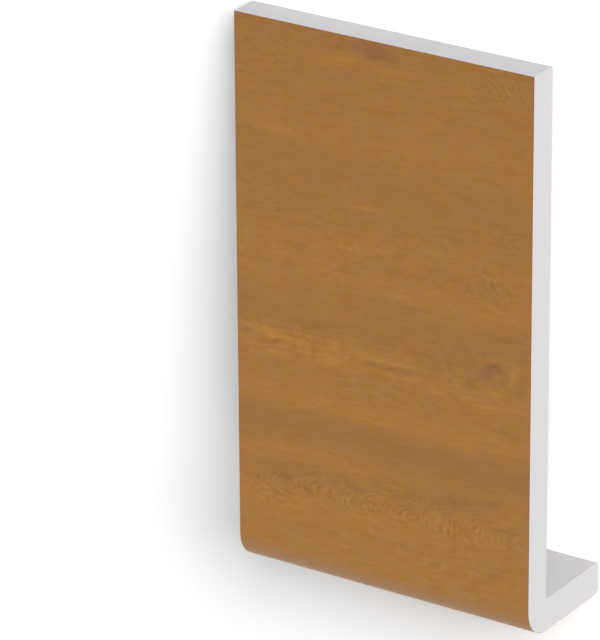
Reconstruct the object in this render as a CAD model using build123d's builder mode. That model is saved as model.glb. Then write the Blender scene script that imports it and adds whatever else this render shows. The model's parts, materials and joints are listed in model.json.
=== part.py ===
"""Fascia cover board: a short cut length, faced with a woodgrain film.

A board of white foamed PVC-U, extruded in one piece with a square leg along its lower edge.
In use it stands upright: the face looks outwards from the roof's eaves, the leg points back
under them, and the soffit board rests on the leg. A thin printed film is bonded to the face,
round the nose and along the underside of the leg. The two ends are sawn square.

The section is drawn as it stands in use, in its own two directions: depth runs back from the
face, and height runs up from the leg's underside. The piece is stored as it lies on a level
floor, face up: it leans on the back corner of its top edge and on the tip of its leg, so its
face slopes a little. X runs along the length, Y from the nose towards the top edge, and Z up.
The origin is on the floor, in the middle of the piece.
"""

from build123d import *

import os
from math import asin, atan2, cos, degrees, hypot, sin

# Driving dimensions, in millimetres. Overall sizes are measured over the film.
sample_length = 100.0
face_height = 175.0
board_thickness = 10.0
leg_depth = 40.0  # from the face to the tip of the leg
leg_thickness = 10.0
film_thickness = 0.2

# Corners of the section
nose_radius = 10.0  # where the face turns into the underside of the leg
root_radius = 1.5  # inside corner between the board's back and the leg
tip_radius = 1.2  # both corners of the leg's tip
edge_radius = 0.3  # back corner of the top edge


def floor_contacts():
    """Centres (depth, height) of the two rounded corners that touch the floor: top edge, leg tip."""
    top_edge = (board_thickness - edge_radius, face_height - edge_radius)
    leg_tip = (leg_depth - tip_radius, leg_thickness - tip_radius)
    return top_edge, leg_tip


def slope_of_face():
    """Angle in radians between the face and the floor: a line that touches both round corners."""
    top_edge, leg_tip = floor_contacts()
    across = leg_tip[0] - top_edge[0]
    along = top_edge[1] - leg_tip[1]
    return atan2(across, along) + asin((tip_radius - edge_radius) / hypot(across, along))


def lying_plane():
    """Plane of the section as the piece lies: its x is depth, its y is height."""
    slope = slope_of_face()
    depth_direction = Vector(0, -sin(slope), -cos(slope))
    leg_tip = floor_contacts()[1]
    rise = leg_tip[0] * cos(slope) + leg_tip[1] * sin(slope) + tip_radius

    # The piece reaches from the film's end under the leg, or the tip beside it, to the face's top.
    film_end = -leg_tip[0] * sin(slope)
    tip_side = (film_thickness + tip_radius) * cos(slope) + film_end - tip_radius
    nearest = min(film_end, tip_side)
    furthest = face_height * cos(slope)
    return Plane(
        origin=(0, -(nearest + furthest) / 2, rise),
        x_dir=depth_direction,
        z_dir=(1, 0, 0),
    )


section_plane = lying_plane()

# The foamed board with its leg. Film covers its face, nose and underside.
with BuildPart() as fascia_board:
    with BuildSketch(section_plane) as board_section:
        with Locations((film_thickness, film_thickness)):
            Rectangle(
                board_thickness - film_thickness,
                face_height - film_thickness,
                align=(Align.MIN, Align.MIN),
            )
            Rectangle(
                leg_depth - film_thickness,
                leg_thickness - film_thickness,
                align=(Align.MIN, Align.MIN),
            )
        nose = board_section.vertices().sort_by_distance((0, 0))[0]
        fillet(nose, nose_radius - film_thickness)
        root = board_section.vertices().sort_by_distance((board_thickness, leg_thickness))[0]
        fillet(root, root_radius)
        tip = board_section.vertices().group_by(Axis.X)[-1]
        fillet(tip, tip_radius)
        top_back = board_section.vertices().group_by(Axis.Y)[-1].sort_by(Axis.X)[-1]
        fillet(top_back, edge_radius)
    extrude(amount=sample_length / 2, both=True)

# The film, bent once round the nose. Its inner side lies on the board all over.
with BuildPart() as woodgrain_film:
    with BuildSketch(section_plane) as film_section:
        with BuildLine() as outer_side:
            face = Line((0, face_height), (0, nose_radius))
            bend = JernArc(face @ 1, face % 1, nose_radius, 90)
            Line(bend @ 1, (leg_depth - tip_radius, 0))
            offset(amount=film_thickness, side=Side.LEFT)
        make_face()
    extrude(amount=sample_length / 2, both=True)

os.makedirs("parts", exist_ok=True)
for piece, name in ((fascia_board, "fascia_board"), (woodgrain_film, "woodgrain_film")):
    piece.part.label = name
    export_step(piece.part, f"parts/{name}.step")

print(f"slope of the face {degrees(slope_of_face()):.3f} degrees")
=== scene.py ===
"""Looks of the fascia cover board: a short cut length that lies face up on a white floor.

The white foamed board and the golden oak film on it are made again as fine surfaces, on the
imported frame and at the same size. A soft key lamp and two broad fill lamps light them, under a
faint white sky. Everything is in metres, except that the patterns of the materials are worked out
in millimetres. A section's points are (depth, height): depth runs from the face to the tip of the
leg, and height from the leg's underside to the top edge.
"""

import json
from math import cos, exp, pi, radians, sin

import bpy
import numpy as np
from mathutils import Matrix, Vector


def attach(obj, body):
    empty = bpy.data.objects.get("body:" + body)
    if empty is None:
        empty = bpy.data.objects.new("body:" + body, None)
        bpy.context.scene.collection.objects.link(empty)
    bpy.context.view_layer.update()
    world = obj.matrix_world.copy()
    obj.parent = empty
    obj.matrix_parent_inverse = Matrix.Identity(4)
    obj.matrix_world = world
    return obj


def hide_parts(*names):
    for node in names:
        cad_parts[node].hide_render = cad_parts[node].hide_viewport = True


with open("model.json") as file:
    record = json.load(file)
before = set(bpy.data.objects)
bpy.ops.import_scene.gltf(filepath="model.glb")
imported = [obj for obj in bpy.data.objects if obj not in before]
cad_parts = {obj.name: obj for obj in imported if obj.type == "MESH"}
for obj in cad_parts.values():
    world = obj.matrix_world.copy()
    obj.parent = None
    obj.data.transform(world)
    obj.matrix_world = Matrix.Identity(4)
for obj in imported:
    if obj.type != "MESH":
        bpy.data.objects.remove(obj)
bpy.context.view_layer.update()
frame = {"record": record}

MM = 0.001

# Sizes of the real board, measured over the film
sample_length = 100 * MM
face_height = 175 * MM
board_thickness = 10 * MM
leg_depth = 40 * MM
leg_thickness = 10 * MM
film_thickness = 0.2 * MM
nose_radius = 10 * MM
root_radius = 1.5 * MM
tip_radius = 1.2 * MM
edge_radius = 0.3 * MM
sawn_edge_radius = 0.15 * MM  # what light sanding leaves on a sawn rim

# Points on each round corner, stations along the film, and the turn from which an edge stays sharp
nose_points = 49
corner_points = 13
edge_points = 7
sawn_edge_points = 4
film_stations = 3
sharp_turn = radians(35)

# Directions of the lying section, from the frame's own mounts
mounts = {mount["name"]: mount for mount in frame["record"]["mounts"]}
height_axis = Vector(mounts["top_edge"]["axis"])
depth_axis = -Vector(mounts["front_face"]["axis"])
length_axis = Vector(mounts["right_end"]["axis"])
face_mount = Vector(mounts["front_face"]["pos_m"])
mount_to_top = (Vector(mounts["top_edge"]["pos_m"]) - face_mount).dot(height_axis)
section_origin = face_mount + (mount_to_top - face_height) * height_axis


def place(x, depth, height):
    """Point of the object: x from the left sawn end, then depth and height in the section."""
    along = (x - sample_length / 2) * length_axis
    return section_origin + along + depth * depth_axis + height * height_axis


# Shapes


def corner(centre, radius, start, turn, count):
    """Round corner of count points: centre plus radius times (cosine, sine) of an angle in degrees that
    turns evenly."""
    angle = np.radians(np.linspace(start, start + turn, count))
    return np.array(centre) + radius * np.column_stack((np.cos(angle), np.sin(angle)))


def board_outline():
    """Outline of the foamed board, anticlockwise with depth to the right: straight runs between round
    corners."""
    inner = nose_radius - film_thickness
    tip = leg_depth - tip_radius
    root = (board_thickness + root_radius, leg_thickness + root_radius)
    back = (board_thickness - edge_radius, face_height - edge_radius)
    return np.vstack(
        (
            [(film_thickness, face_height)],
            corner((nose_radius, nose_radius), inner, 180, 90, nose_points),
            corner((tip, film_thickness + tip_radius), tip_radius, 270, 90, corner_points),
            corner((tip, leg_thickness - tip_radius), tip_radius, 0, 90, corner_points),
            corner(root, root_radius, 270, -90, corner_points),
            corner(back, edge_radius, 0, 90, edge_points),
        )
    )


def film_side(offset):
    """One side of the film, from the top edge round the nose to the leg's tip, offset inwards from the
    outer side."""
    bend = corner((nose_radius, nose_radius), nose_radius - offset, 180, 90, nose_points)
    return np.vstack(([(offset, face_height)], bend, [(leg_depth - tip_radius, offset)]))


def unrolled_height():
    """Height of each point of a film side once the film is unrolled: what is left of the face's height
    after the distance along the outer side."""
    outer = film_side(0)
    steps = np.hypot(*np.diff(outer, axis=0).T)
    return face_height - np.concatenate(([0], np.cumsum(steps)))


def mitred_normals(outline):
    """Outward direction at each point: its two edges' normals added, over one plus their dot product."""
    edge = np.roll(outline, -1, axis=0) - outline
    edge /= np.linalg.norm(edge, axis=1)[:, None]
    after = np.column_stack((edge[:, 1], -edge[:, 0]))
    before = np.roll(after, 1, axis=0)
    return (after + before) / (1 + (after * before).sum(axis=1))[:, None]


def rounded_stations(radius, count):
    """Places along the length and how far the outline draws in there: a quarter circle of count points at
    each sawn rim."""
    angle = np.linspace(0, pi / 2, count)
    near_end = radius * (1 - np.sin(angle))
    drawn_in = radius * (1 - np.cos(angle))
    x = np.concatenate((near_end[::-1], sample_length - near_end))
    return x, np.concatenate((drawn_in[::-1], drawn_in))


def carried_points(outline, x, drawn_in):
    """Outline carried along the length: at each station it is drawn in along its own normals."""
    section = outline[None] - drawn_in[:, None, None] * mitred_normals(outline)[None]
    along = (x - sample_length / 2)[:, None, None] * np.array(length_axis)
    points = np.array(section_origin) + along
    points = points + section[..., :1] * np.array(depth_axis) + section[..., 1:] * np.array(height_axis)
    return points.reshape(-1, 3)


def carried_faces(outline_count, station_count):
    """Quads between neighbouring outline points and neighbouring stations, facing outwards."""
    point = np.arange(outline_count)
    after = np.roll(point, -1)
    start = np.arange(station_count - 1)[:, None] * outline_count
    beyond = start + outline_count
    quads = np.stack((start + point, start + after, beyond + after, beyond + point), axis=-1)
    return quads.reshape(-1, 4)


def new_piece(name, points, faces, materials, face_materials, stands_for):
    """Mesh object at the origin, with its place in its mesh, that stands for a CAD node."""
    mesh = bpy.data.meshes.new(name)
    mesh.from_pydata(points.tolist(), [], faces)
    for material in materials:
        mesh.materials.append(material)
    mesh.polygons.foreach_set("material_index", face_materials)
    mesh.shade_smooth()
    mesh.set_sharp_from_angle(angle=sharp_turn)
    mesh.update()
    piece = bpy.data.objects.new(name, mesh)
    bpy.context.scene.collection.objects.link(piece)
    shading = piece.modifiers.new("flats shade flat", "WEIGHTED_NORMAL")
    shading.keep_sharp = True
    shading.weight = 100
    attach(piece, "root")
    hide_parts(stands_for)
    return piece


def foamed_board(skin, sawn):
    """The board with its leg: its outline carried between two sawn ends with slightly eased rims."""
    outline = board_outline()
    x, drawn_in = rounded_stations(sawn_edge_radius, sawn_edge_points)
    count, last = len(outline), len(x) - 1
    sides = carried_faces(count, len(x))
    left_end = list(range(count))[::-1]
    right_end = [last * count + i for i in range(count)]
    is_sawn = np.zeros(len(sides) + 2, dtype=np.int32)
    is_sawn[-2:] = 1
    faces = sides.tolist() + [left_end, right_end]
    points = carried_points(outline, x, drawn_in)
    return new_piece("foamed_board", points, faces, [skin, sawn], is_sawn, "fascia_board")


def bonded_film(printed, cut):
    """The film: its two sides as one closed strip, carried along the length. Its UV map is the film laid
    flat, in metres, with the height on the face kept as V."""
    outer, inner = film_side(0), film_side(film_thickness)
    outline = np.vstack((outer, inner[::-1]))
    x = np.linspace(0, sample_length, film_stations)
    count, side_count, last = len(outline), len(outer), len(x) - 1
    sides = carried_faces(count, len(x))
    one = np.arange(side_count - 1)
    strip = np.column_stack((one, one + 1, count - 2 - one, count - 1 - one))
    faces = np.vstack((sides, strip[:, ::-1], strip + last * count))
    edge_of_side = np.tile(np.arange(count), last)
    is_printed = np.concatenate((edge_of_side < side_count - 1, np.zeros(2 * len(strip), dtype=bool)))
    face_materials = np.where(is_printed, 0, 1).astype(np.int32)
    points = carried_points(outline, x, np.zeros(len(x)))
    film = new_piece(
        "oak_film", points, faces.tolist(), [printed, cut], face_materials,
        stands_for="woodgrain_film",
    )
    height = unrolled_height()
    height = np.concatenate((height, height[::-1]))
    flat = np.column_stack((np.repeat(x, count), np.tile(height, len(x))))
    corners = np.zeros(len(film.data.loops), dtype=np.int32)
    film.data.loops.foreach_get("vertex_index", corners)
    film.data.uv_layers.new(name="unrolled").data.foreach_set("uv", flat[corners].ravel())
    return film


# Materials

# Numbers of the colour sockets of a Mix node: the two that go in and the one that comes out
MIX_FROM, MIX_TO, MIXED = 6, 7, 2

# How the print's levels become colour. One level is about one step of 255 in red.
ink_span = 16.0  # levels from the middle tone to either ink
# Painted sheen and shade of the emboss brighten or darken the inks by a share a level, and grey them as
# they brighten
painted_sheen_per_level = 0.013
painted_sheen_greyness_per_level = 0.004


def linear(hex_colour):
    """Linear RGBA of an sRGB hex colour."""
    srgb = [int(hex_colour[i : i + 2], 16) / 255 for i in (1, 3, 5)]
    return [c / 12.92 if c <= 0.04045 else ((c + 0.055) / 1.055) ** 2.4 for c in srgb] + [1.0]


def add(tree, kind, *inputs, sockets=None, **settings):
    """Adds one node: settings are its own fields, and each input is a value, a socket or a node's first
    output. Inputs are taken in the order of the node's sockets; sockets maps a name or number to any
    further one."""
    node = tree.nodes.new(kind)
    for field, value in settings.items():
        setattr(node, field, value)
    for socket, value in [*enumerate(inputs), *(sockets or {}).items()]:
        if isinstance(value, bpy.types.Node):
            value = value.outputs[0]
        if isinstance(value, bpy.types.NodeSocket):
            tree.links.new(value, node.inputs[socket])
        elif value is not None:
            node.inputs[socket].default_value = value
    return node


def new_material(name):
    """Material with an empty node tree."""
    material = bpy.data.materials.new(name)
    material.use_nodes = True
    material.node_tree.nodes.clear()
    return material, material.node_tree


def place_on_piece(tree):
    """Place on the piece itself, in millimetres."""
    spot = add(tree, "ShaderNodeTexCoord").outputs["Object"]
    return add(tree, "ShaderNodeVectorMath", spot, operation="SCALE", sockets={"Scale": 1 / MM})


def plus(tree, levels, pattern, share):
    """Levels plus a share of a pattern."""
    return add(tree, "ShaderNodeMath", pattern, share, levels, operation="MULTIPLY_ADD")


def times(tree, one, other):
    """Product of two patterns."""
    return add(tree, "ShaderNodeMath", one, other, operation="MULTIPLY")


def soft_spot(tree, spot, centre, reach, lean=0.0):
    """Bell round a centre: e to the minus of the squared distance, counted in reaches. The first reach
    leans up by lean degrees and the second is square to it. Places and reaches are in millimetres."""
    turn = radians(lean)
    along = (cos(turn) / reach[0], sin(turn) / reach[0], 0.0)
    across = (-sin(turn) / reach[1], cos(turn) / reach[1], 0.0)
    local = add(tree, "ShaderNodeVectorMath", spot, (*centre, 0.0), operation="SUBTRACT")
    along = add(tree, "ShaderNodeVectorMath", local, along, operation="DOT_PRODUCT").outputs["Value"]
    across = add(tree, "ShaderNodeVectorMath", local, across, operation="DOT_PRODUCT").outputs["Value"]
    squared = plus(tree, times(tree, along, along), across, across)
    return add(tree, "ShaderNodeMath", exp(-1), squared, operation="POWER")


def noise_clouds(tree, spot, size, detail=2.0):
    """Noise from 0 to 1, with clouds of a size along each axis, in millimetres."""
    counted = add(tree, "ShaderNodeVectorMath", spot, [1 / side for side in size], operation="MULTIPLY")
    return add(tree, "ShaderNodeTexNoise", counted, sockets={"Scale": 1.0, "Detail": detail})


def stretched_noise(tree, spot, length, thickness, detail=2.0):
    """Noise about zero, from minus to plus a half, with clouds of a length and a thickness."""
    noise = noise_clouds(tree, spot, (length, thickness, 1.0), detail)
    return add(tree, "ShaderNodeMath", noise, -0.5, operation="ADD")


def moved_by_noise(tree, spot, length, thickness, reach):
    """Place moved to and fro by up to half a reach each way, by noise with clouds of a length and a
    thickness."""
    noise = noise_clouds(tree, spot, (length, thickness, 1.0)).outputs["Color"]
    shift = add(tree, "ShaderNodeVectorMath", noise, (0.5, 0.5, 0.5), operation="SUBTRACT")
    return add(tree, "ShaderNodeVectorMath", shift, (*reach, 0.0), spot, operation="MULTIPLY_ADD")


def ramp_of_tones(tree, height, tones):
    """Soft ramp over the height on the face, through pairs of a height in millimetres and a tone from 0
    to 1."""
    share_of_face = add(tree, "ShaderNodeMath", height, face_height / MM, operation="DIVIDE")
    ramp = add(tree, "ShaderNodeValToRGB", share_of_face)
    ramp.color_ramp.interpolation = "B_SPLINE"
    stops = ramp.color_ramp.elements
    for level, tone in tones[1:-1]:
        stops.new(level * MM / face_height).color = (tone, tone, tone, 1)
    for stop, (level, tone) in zip((stops[0], stops[-1]), (tones[0], tones[-1])):
        stop.color = (tone, tone, tone, 1)
    return ramp


def grain_bands(tree, grain_height):
    """Broad bands of early and late wood, from minus to plus span levels."""
    span = 9.0
    tones = (
        (0, 0.7), (13, 0.65), (19, 0.6), (27, 0.75), (35, 0.4), (40, 0.8), (44, 0.3), (49, 0.1),
        (53, 0.2), (57, 0.95), (61, 0.6), (68, 0.4), (73, 0.75), (78, 0.6), (84, 0.15), (93, 0.35),
        (101, 0.8), (106, 0.45), (111, 0.7), (116, 0.32), (124, 0.36), (132, 0.2), (138, 0.42), (143, 0.55),
        (150, 0.38), (160, 0.38), (167, 0.4), (175, 0.1),
    )
    bands = ramp_of_tones(tree, grain_height, tones)
    return add(tree, "ShaderNodeMapRange", bands, 0.0, 1.0, -span, span, clamp=False)


def ripple_strength(tree, spot, grain_height):
    """How strong the ripples are, in levels: calm in the dark bands, lively about the figures, and uneven
    by noise."""
    calmest, liveliest = 4.0, 25.0
    tones = (
        (0, 0.4), (12, 0.5), (22, 0.6), (30, 0.7), (36, 0.6), (41, 0.4), (45, 0.05), (52, 0.05),
        (57, 0.5), (66, 0.5), (70, 1.0), (79, 1.0), (84, 0.3), (92, 0.2), (98, 0.5), (106, 0.6),
        (118, 0.75), (124, 0.5), (132, 0.15), (150, 0.2), (160, 0.35), (166, 0.5), (175, 0.8),
    )
    lively = ramp_of_tones(tree, grain_height, tones)
    strength = add(tree, "ShaderNodeMapRange", lively, 0.0, 1.0, calmest, liveliest)
    uneven = stretched_noise(tree, spot, length=16.0, thickness=9.0)
    uneven = add(tree, "ShaderNodeMapRange", uneven, -0.15, 0.15, 0.45, 1.55)
    return times(tree, strength, uneven)


def feather_arcs(tree, spot):
    """Feather figure low on the face: nested arcs that open to the right and fade away above and below.
    They are a sine of x less the squared height above the figure's axis over a curvature, bent by noise
    and broken up by it, in levels."""
    axis_height, curvature, arc_spacing = 30.5, 5.5, 2.5
    strength = 8.0
    split = add(tree, "ShaderNodeSeparateXYZ", spot)
    x, height = split.outputs[0], split.outputs[1]
    up = add(tree, "ShaderNodeMath", height, -axis_height, operation="ADD")
    bend = stretched_noise(tree, spot, length=24.0, thickness=24.0, detail=1.0)
    up = plus(tree, up, bend, share=7.0)
    along = plus(tree, x, times(tree, up, up), share=-1 / curvature)
    bend = stretched_noise(tree, spot, length=8.0, thickness=7.0, detail=0.0)
    along = plus(tree, along, bend, share=6.0)
    arcs = add(tree, "ShaderNodeMath", times(tree, along, 2 * pi / arc_spacing), operation="SINE")
    broken = stretched_noise(tree, spot, length=4.0, thickness=2.5)
    broken = plus(tree, 0.4, broken, share=7.0)
    fading = soft_spot(tree, spot, (56.0, axis_height), reach=(60.0, 5.5), lean=1.5)
    return times(tree, times(tree, times(tree, arcs, broken), fading), strength)


def feather_eyes(tree, spot):
    """Dark eyes between the arcs on the left: where small round noise is low, under a bell."""
    rim, middle = -0.05, -0.26
    eyes = stretched_noise(tree, spot, length=3.6, thickness=2.8, detail=0.0)
    eyes = add(tree, "ShaderNodeMapRange", eyes, rim, middle, 0.0, 1.0)
    return times(tree, eyes, soft_spot(tree, spot, (26.0, 31.5), reach=(30.0, 4.5), lean=5.0))


def knot_figure(tree, spot):
    """Small knot on the right, in levels: a dark slanting core, a pale ring and a darker one round it.
    The rings are a cosine of the distance from the centre, in reaches, under a bell."""
    centre, reach, lean = (88.4, 81.4), (6.4, 4.9), 22.0
    ring_strength, core_strength = 6.0, -20.0
    ragged = moved_by_noise(tree, spot, length=3.0, thickness=3.0, reach=(4.0, 4.0))
    local = add(
        tree, "ShaderNodeMapping", ragged, (*centre, 0.0), (0.0, 0.0, radians(lean)), (*reach, 1.0),
        vector_type="TEXTURE",
    )
    distance = add(tree, "ShaderNodeVectorMath", local, operation="LENGTH").outputs["Value"]
    rings = add(tree, "ShaderNodeMath", times(tree, distance, 2 * pi), operation="COSINE")
    rings = times(tree, rings, soft_spot(tree, spot, centre, reach=(12.0, 8.5), lean=lean))
    broken = stretched_noise(tree, spot, length=4.0, thickness=3.0)
    broken = plus(tree, 0.7, broken, share=3.0)
    levels = times(tree, times(tree, rings, broken), ring_strength)
    core = soft_spot(tree, ragged, (86.6, 83.0), reach=(4.6, 1.5), lean=30.0)
    return plus(tree, levels, core, core_strength)


def stroke_patch(tree, spot, centre, reach, lean, spacing):
    """Patch of short strokes across the grain: a sine along a direction that leans up by lean degrees,
    bent by noise and broken up by it, under a bell."""
    bent = moved_by_noise(tree, spot, length=5.0, thickness=4.0, reach=(8.0, 5.0))
    local = add(
        tree, "ShaderNodeMapping", bent, (*centre, 0.0), (0.0, 0.0, radians(lean)), (1.0, 1.0, 1.0),
        vector_type="TEXTURE",
    )
    along = add(tree, "ShaderNodeSeparateXYZ", local).outputs[0]
    strokes = add(tree, "ShaderNodeMath", times(tree, along, 2 * pi / spacing), operation="SINE")
    broken = stretched_noise(tree, spot, length=3.0, thickness=3.0)
    broken = plus(tree, 0.6, broken, share=4.0)
    return times(tree, times(tree, strokes, broken), soft_spot(tree, spot, centre, reach))


def single_marks(tree, spot):
    """The single clouds, streaks and dashes of the print, added up: each a soft spot with ragged rims."""
    # x, height, half length, half thickness, lean in degrees, levels
    marks = (
        # High on the face: a dark cloud under the top edge, pale wedges beside it, a few dashes
        (47.0, 171.8, 7.0, 2.2, -5, -20), (36.0, 167.4, 8.0, 1.7, 12, 9), (53.0, 166.8, 6.5, 1.3, 0, 8),
        (37.5, 162.5, 5.0, 0.9, 2, -6), (23.0, 161.0, 3.0, 1.8, 0, -5), (15.0, 156.4, 4.5, 0.8, 0, -5),
        (36.0, 154.0, 11.0, 0.8, 3, -4), (73.0, 156.5, 4.0, 0.8, 15, -5), (57.0, 151.0, 1.6, 1.6, 0, 6),
        (50.0, 146.0, 2.5, 1.1, 0, -6), (59.0, 143.8, 2.4, 1.2, 0, 6), (14.0, 142.0, 10.0, 0.9, -3, 10),
        (72.0, 132.4, 6.0, 0.9, 3, 5), (45.0, 123.8, 4.0, 0.6, 3, 17), (93.0, 127.0, 6.0, 1.2, 0, -5),
        # Across the middle
        (20.0, 113.6, 16.0, 0.8, 3, -6), (42.0, 110.8, 6.0, 0.8, 5, 6), (20.0, 106.8, 3.0, 1.1, -10, -6),
        (54.5, 105.8, 4.0, 1.5, 5, -5), (38.0, 103.6, 5.0, 1.6, 0, -5), (12.0, 100.6, 9.0, 0.6, 3, -7),
        (57.0, 99.0, 10.0, 1.6, 0, 5), (82.0, 98.0, 12.0, 3.0, 10, 5), (55.0, 95.9, 15.0, 0.6, 3, -5),
        (92.0, 93.4, 3.0, 1.1, 10, -6), (27.0, 82.8, 8.0, 0.9, 16, -7), (49.5, 83.0, 4.0, 1.2, 12, -5),
        # The bright forked streaks at the left, and what lies between them and the knot
        (11.0, 77.7, 7.0, 1.2, -3, 26), (33.0, 77.2, 5.5, 0.7, 2, 8), (33.5, 74.0, 6.0, 1.1, 8, 10),
        (50.0, 73.4, 11.0, 0.9, 3, 8), (13.0, 75.0, 6.0, 0.7, 20, -14), (46.0, 75.6, 9.0, 0.6, 3, -10),
        (19.5, 77.2, 5.0, 0.7, 20, 10), (21.0, 74.0, 20.0, 3.2, 4, 2), (48.0, 78.0, 9.0, 1.4, 6, 4),
        (57.0, 75.6, 8.0, 0.6, 4, -10), (3.5, 76.8, 2.0, 1.1, 30, -13), (20.3, 74.3, 1.0, 2.6, 0, -9),
        (26.5, 74.0, 1.0, 3.0, 0, -9), (12.0, 71.3, 4.5, 0.9, 0, 10), (67.5, 72.2, 2.0, 1.3, 0, 9),
        (86.0, 71.5, 7.0, 1.2, 4, 6), (79.5, 77.4, 4.0, 1.3, 38, -8), (88.5, 86.8, 4.4, 0.8, 0, 10),
        (93.8, 82.0, 4.0, 0.7, 78, 8), (96.2, 78.2, 1.6, 1.4, 0, -6), (83.9, 87.5, 1.5, 0.7, 0, -7),
        (87.4, 76.8, 2.6, 0.8, 0, 4), (10.5, 73.3, 5.0, 0.6, 10, 8), (8.5, 72.0, 4.5, 0.5, 8, -7),
        (24.0, 78.1, 4.5, 0.5, 0, -8), (21.7, 75.2, 0.8, 1.6, 0, 9), (24.8, 74.8, 0.9, 1.4, 0, 10),
        (34.0, 79.4, 4.5, 0.5, 2, 8), (30.8, 72.2, 3.0, 0.8, 6, 8), (45.5, 77.2, 5.0, 0.5, 3, 9),
        (55.0, 77.3, 4.0, 0.5, 5, 8),
        # Low on the face
        (94.0, 64.0, 5.0, 1.4, 0, -6), (23.0, 57.0, 3.0, 0.8, 0, 6), (50.0, 57.6, 8.0, 0.7, 0, 6),
        (16.0, 41.6, 14.0, 1.2, 6, 5), (88.0, 41.3, 2.6, 1.0, 15, -11), (77.0, 38.8, 10.0, 0.6, 15, -5),
        (8.0, 35.0, 7.0, 0.7, 8, -7), (22.0, 37.4, 10.0, 0.7, 8, -6), (92.5, 33.6, 6.0, 0.7, 3, -12),
        (89.0, 35.2, 7.0, 0.6, 14, 9), (96.0, 31.0, 4.0, 0.6, 10, -7), (88.0, 19.0, 5.0, 1.5, 0, -5),
        (26.0, 17.8, 9.0, 0.9, 0, -5), (52.0, 20.6, 9.0, 0.6, 0, -5),
        # Wide clouds: the dark wedge under the lower dark band, and tints of whole stretches
        (73.0, 39.5, 19.0, 5.0, 10, -7), (76.0, 48.0, 32.0, 4.0, 2, -3), (18.0, 33.5, 16.0, 2.6, 10, -6),
        (30.0, 24.0, 36.0, 3.0, 2, 3), (78.0, 107.0, 28.0, 6.0, 2, -3.5), (25.0, 89.0, 28.0, 4.0, 0, 2.5),
        (72.0, 81.0, 13.0, 4.0, 5, -2.5),
    )
    ragged = moved_by_noise(tree, spot, length=4.0, thickness=1.8, reach=(5.0, 1.3))
    levels = 0.0
    for x, height, half_length, half_thickness, lean, share in marks:
        mark = soft_spot(tree, ragged, (x, height), (half_length, half_thickness), lean)
        levels = plus(tree, levels, mark, share)
    return levels


def wandering_grain(tree, spot):
    """Height that the bands follow, and place that the fine streaks follow. The grain wanders up and
    down by 2 mm or so, climbs a little to the right and parts round the knot, where a share of the
    height above the knot is taken off under a bell. Its streaks climb twice as much as its bands."""
    knot_x, knot_height, climb = 87.0, 82.8, 0.03
    split = add(tree, "ShaderNodeSeparateXYZ", spot)
    x, height = split.outputs[0], split.outputs[1]
    wander = stretched_noise(tree, spot, length=60.0, thickness=25.0)
    grain_height = plus(tree, height, wander, share=8.0)
    grain_height = plus(tree, grain_height, x, -climb)
    above_knot = add(tree, "ShaderNodeMath", height, -knot_height, operation="ADD")
    about_knot = soft_spot(tree, spot, (knot_x, knot_height), reach=(17.0, 10.0))
    grain_height = plus(tree, grain_height, times(tree, above_knot, about_knot), share=-0.7)
    grain = add(tree, "ShaderNodeCombineXYZ", x, plus(tree, grain_height, x, -climb), 0.0)
    return grain_height, grain


def ink_levels(tree, spot, grain_height, streaks):
    """Tone between the two inks, in levels: bands, streaks, the dark eyes, the knot and the single
    marks."""
    levels = grain_bands(tree, grain_height)
    levels = plus(tree, levels, streaks, share=12.0)
    levels = plus(tree, levels, feather_eyes(tree, spot), share=-14.0)
    levels = add(tree, "ShaderNodeMath", levels, knot_figure(tree, spot), operation="ADD")
    return add(tree, "ShaderNodeMath", levels, single_marks(tree, spot), operation="ADD")


def painted_emboss_sheen(tree, spot, grain_height, grain, streaks, fibres):
    """Painted sheen and shade of the embossed grain, in levels: the light that the emboss would catch,
    painted as ripples, fibres, streaks, the feather figure and patches of short strokes."""
    # Centre, reach, lean in degrees, spacing, levels
    patches = (
        ((88.0, 169.0), (12.0, 4.5), 45.0, 2.4, 7.5),
        ((86.0, 108.0), (11.0, 5.0), 35.0, 2.8, 6.0),
        ((14.0, 164.0), (11.0, 5.0), -60.0, 3.2, 5.0),
        ((11.0, 26.0), (10.0, 3.5), 68.0, 2.3, 8.0),
        ((70.0, 17.0), (24.0, 7.0), -52.0, 5.5, 3.5),
    )
    # Each of these is painted into the colour as the light and shade that the emboss catches
    ripples = moved_by_noise(tree, grain, length=5.0, thickness=3.0, reach=(3.0, 2.5))
    ripples = stretched_noise(tree, ripples, length=3.2, thickness=1.2, detail=1.0)
    relief = times(tree, ripples, ripple_strength(tree, spot, grain_height))
    relief = plus(tree, relief, fibres, share=2.4)
    relief = plus(tree, relief, streaks, share=9.0)
    relief = add(tree, "ShaderNodeMath", relief, feather_arcs(tree, spot), operation="ADD")
    for centre, reach, lean, spacing, share in patches:
        relief = plus(tree, relief, stroke_patch(tree, spot, centre, reach, lean, spacing), share)
    return relief


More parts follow.
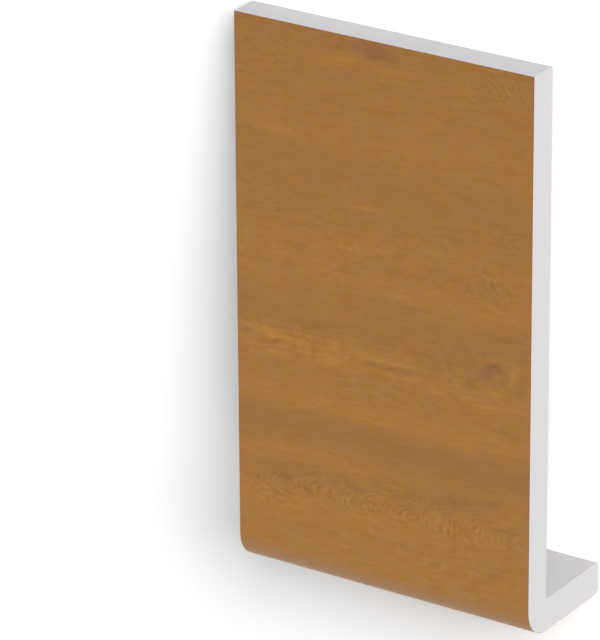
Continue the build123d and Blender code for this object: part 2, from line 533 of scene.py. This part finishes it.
def oak_print():
    """Golden oak print on a PVC film, lightly embossed with the grain.
    To the eye: a warm mid brown with little contrast, and a satin sheen that softens every highlight."""
    material, tree = new_material("golden oak printed film")
    flat = add(tree, "ShaderNodeUVMap", uv_map="unrolled")
    spot = add(tree, "ShaderNodeVectorMath", flat, operation="SCALE", sockets={"Scale": 1 / MM})
    grain_height, grain = wandering_grain(tree, spot)
    streaks = moved_by_noise(tree, grain, length=6.0, thickness=4.0, reach=(6.0, 2.0))
    streaks = stretched_noise(tree, streaks, length=9.0, thickness=1.6)
    fibres = stretched_noise(tree, grain, length=2.5, thickness=0.5)

    levels = ink_levels(tree, spot, grain_height, streaks)
    share = add(tree, "ShaderNodeMapRange", levels, -ink_span, ink_span, 0.0, 1.0)
    two_inks = {MIX_FROM: linear("#956230"), MIX_TO: linear("#B67D30")}
    inks = add(tree, "ShaderNodeMix", share, data_type="RGBA", sockets=two_inks).outputs[MIXED]

    # Painted sheen: the light that the embossed grain catches is painted into the colour, lifting red,
    # green and blue alike, by a level each
    relief = painted_emboss_sheen(tree, spot, grain_height, grain, streaks, fibres)
    value = plus(tree, 1.0, relief, painted_sheen_per_level)

    # Clouds some 8 mm long are a little greyer or more golden, and clouds some 12 mm long redder or more
    # olive. A hue of a half is the inks' own.
    golden = stretched_noise(tree, spot, length=8.0, thickness=4.0)
    golden = plus(tree, 1.0, golden, share=0.11)
    # Painted sheen greys the colour where it brightens it
    golden = plus(tree, golden, relief, -painted_sheen_greyness_per_level)
    olive = stretched_noise(tree, grain, length=12.0, thickness=6.0)
    olive = plus(tree, 0.5, olive, share=0.013)
    colour = add(tree, "ShaderNodeHueSaturation", olive, golden, value, 1.0, inks)
    bump = add(tree, "ShaderNodeBump", sockets={"Strength": 0.3, "Distance": 0.04 * MM, "Height": fibres})
    shader = add(
        tree, "ShaderNodeBsdfPrincipled",
        sockets={"Base Color": colour, "Roughness": 0.45, "IOR": 1.5, "Normal": bump},
    )
    add(tree, "ShaderNodeOutputMaterial", shader)
    return material


def cut_film():
    """Cut edge and back of the film: white PVC, calendered and then printed on its outer side alone.
    To the eye: the board's white runs on to the very edge of the print, with faint clouds that the
    rolls leave."""
    cloud_size = 5  # millimetres
    material, tree = new_material("cut white PVC film")
    spot = place_on_piece(tree)
    cloud = add(tree, "ShaderNodeTexNoise", spot, sockets={"Scale": 1 / cloud_size, "Detail": 2.0})
    whites = {MIX_FROM: linear("#D5D1D2"), MIX_TO: linear("#DBD7D8")}
    colour = add(tree, "ShaderNodeMix", cloud, data_type="RGBA", sockets=whites).outputs[MIXED]
    roughness = add(tree, "ShaderNodeMapRange", cloud, 0.3, 0.7, 0.55, 0.65)
    shader = add(
        tree, "ShaderNodeBsdfPrincipled",
        sockets={"Base Color": colour, "Roughness": roughness, "IOR": 1.53},
    )
    add(tree, "ShaderNodeOutputMaterial", shader)
    return material


def foam_skin():
    """Skin of foamed PVC-U, drawn through a sizing die. To the eye: white with a faint cool cast, smooth
    and satin, with soft die lines along the length. Real die lines are under 0.5 mm apart; these are
    drawn 1.5 mm apart."""
    line_length, line_spacing, cloud_size = 60, 1.5, 14  # millimetres
    material, tree = new_material("foamed PVC-U skin")
    spot = place_on_piece(tree)
    lines = noise_clouds(tree, spot, (line_length, line_spacing, line_spacing))
    cloud = add(tree, "ShaderNodeTexNoise", spot, sockets={"Scale": 1 / cloud_size, "Detail": 2.0})
    whites = {MIX_FROM: linear("#D5D2D5"), MIX_TO: linear("#DDDADD")}
    colour = add(tree, "ShaderNodeMix", cloud, data_type="RGBA", sockets=whites).outputs[MIXED]
    roughness = add(tree, "ShaderNodeMapRange", lines, 0.3, 0.7, 0.42, 0.54)
    bump = add(tree, "ShaderNodeBump", sockets={"Strength": 0.25, "Distance": 0.03 * MM, "Height": lines})
    shader = add(
        tree, "ShaderNodeBsdfPrincipled",
        sockets={"Base Color": colour, "Roughness": roughness, "IOR": 1.53, "Normal": bump},
    )
    add(tree, "ShaderNodeOutputMaterial", shader)
    return material


def sawn_foam():
    """Sawn end of foamed PVC-U. To the eye: flat white, with closed cells and faint saw marks down the
    section; the cells are painted a shade darker in their hollows. Real cells are 0.1 to 0.2 mm wide; these
    are drawn 0.4 mm wide, so that they show."""
    cell_size, saw_mark_size = 0.4, (1.0, 1.1, 25)  # millimetres
    material, tree = new_material("sawn foamed PVC-U")
    spot = place_on_piece(tree)
    cells = add(tree, "ShaderNodeTexVoronoi", spot, sockets={"Scale": 1 / cell_size})
    pits = add(tree, "ShaderNodeMapRange", cells, 0.0, 0.45, 0.0, 1.0)
    marks = noise_clouds(tree, spot, saw_mark_size, detail=1.0)
    relief = plus(tree, pits, marks, share=1.5)
    # Painted shade: each cell is a little darker in its hollow, where the bump is lowest
    whites = {MIX_FROM: linear("#D3D0D3"), MIX_TO: linear("#DBD8DB")}
    colour = add(tree, "ShaderNodeMix", pits, data_type="RGBA", sockets=whites).outputs[MIXED]
    bump = add(tree, "ShaderNodeBump", sockets={"Strength": 0.3, "Distance": 0.03 * MM, "Height": relief})
    shader = add(
        tree, "ShaderNodeBsdfPrincipled",
        sockets={"Base Color": colour, "Roughness": 0.75, "IOR": 1.53, "Normal": bump},
    )
    add(tree, "ShaderNodeOutputMaterial", shader)
    return material


# Floor, light and camera


def background_rays(tree):
    """1 where a ray comes from the camera, from a glossy surface or through glass, which all show the
    background, and 0 where it only gathers light."""
    path = add(tree, "ShaderNodeLightPath")
    glossy, through = path.outputs["Is Glossy Ray"], path.outputs["Is Transmission Ray"]
    mirrored = add(tree, "ShaderNodeMath", glossy, through, operation="MAXIMUM")
    return add(tree, "ShaderNodeMath", path.outputs["Is Camera Ray"], mirrored, operation="MAXIMUM")


def white_floor(whiteness):
    """Level white floor, 6 m square, that keeps the object's shadow. It lights like grey paper. Its
    whiteness is over 1 where it is shown, because lamps at a plain level leave white paper pale grey."""
    reach = 3.0
    corners = [(-reach, -reach, 0), (reach, -reach, 0), (reach, reach, 0), (-reach, reach, 0)]
    mesh = bpy.data.meshes.new("floor")
    mesh.from_pydata(corners, [], [(0, 1, 2, 3)])
    floor = bpy.data.objects.new("floor", mesh)
    bpy.context.scene.collection.objects.link(floor)
    material, tree = new_material("white paper floor")
    shown = add(tree, "ShaderNodeBsdfDiffuse", (whiteness, whiteness, whiteness, 1.0))
    lighting = add(tree, "ShaderNodeBsdfDiffuse", linear("#BCBCBC"))
    shader = add(tree, "ShaderNodeMixShader", background_rays(tree), lighting, shown)
    add(tree, "ShaderNodeOutputMaterial", shader)
    mesh.materials.append(material)


def white_sky(level):
    """Even white sky. It shows white behind the floor, in gloss and through glass, and it lights at the
    given level."""
    world = bpy.data.worlds.new("white sky")
    world.use_nodes = True
    bpy.context.scene.world = world
    tree = world.node_tree
    tree.nodes.clear()
    strength = add(tree, "ShaderNodeMapRange", background_rays(tree), 0.0, 1.0, level, 1.0)
    sky = add(tree, "ShaderNodeBackground", linear("#FFFFFF"), strength)
    add(tree, "ShaderNodeOutputWorld", sky)


def soft_lamp(name, towards, strength, spread):
    """Far lamp as wide as spread, in degrees, that shines from the direction towards."""
    lamp = bpy.data.lights.new(name, "SUN")
    lamp.energy = strength
    lamp.angle = radians(spread)
    holder = bpy.data.objects.new(name, lamp)
    holder.matrix_world = Vector(towards).to_track_quat("Z", "Y").to_matrix().to_4x4()
    bpy.context.scene.collection.objects.link(holder)


def photo_camera():
    """Camera that looks at the face as the photo does: turned to the right end and towards the top edge.
    Its axes start as (length, height, out of the face) and turn by yaw, pitch and roll."""
    yaw, pitch, roll = radians(33.433), radians(23.411), radians(-0.397)
    distance = 1582.505 * MM
    aim = place(21.838 * MM, 0, 83.772 * MM)
    upright = Matrix((length_axis, height_axis, -depth_axis)).transposed()
    turned = upright @ Matrix.Rotation(yaw, 3, "Y") @ Matrix.Rotation(-pitch, 3, "X")
    turned = turned @ Matrix.Rotation(roll, 3, "Z")
    lens = bpy.data.cameras.new("camera")
    lens.sensor_width = 36
    lens.lens = 306.95
    camera = bpy.data.objects.new("camera", lens)
    camera.matrix_world = Matrix.Translation(aim + distance * turned.col[2]) @ turned.to_4x4()
    bpy.context.scene.collection.objects.link(camera)
    bpy.context.scene.camera = camera


foamed_board(foam_skin(), sawn_foam())
bonded_film(oak_print(), cut_film())
white_floor(whiteness=1.56)
white_sky(level=0.10)
soft_lamp("key", towards=(1.08, 1.16, 0.93), strength=2.25, spread=34)
soft_lamp("side fill", towards=(1.0, 0.7, 0.1), strength=1.66, spread=60)
soft_lamp("front fill", towards=(0.3, -1.0, 0.7), strength=1.0, spread=90)
photo_camera()
bpy.context.scene.view_settings.view_transform = "Standard"
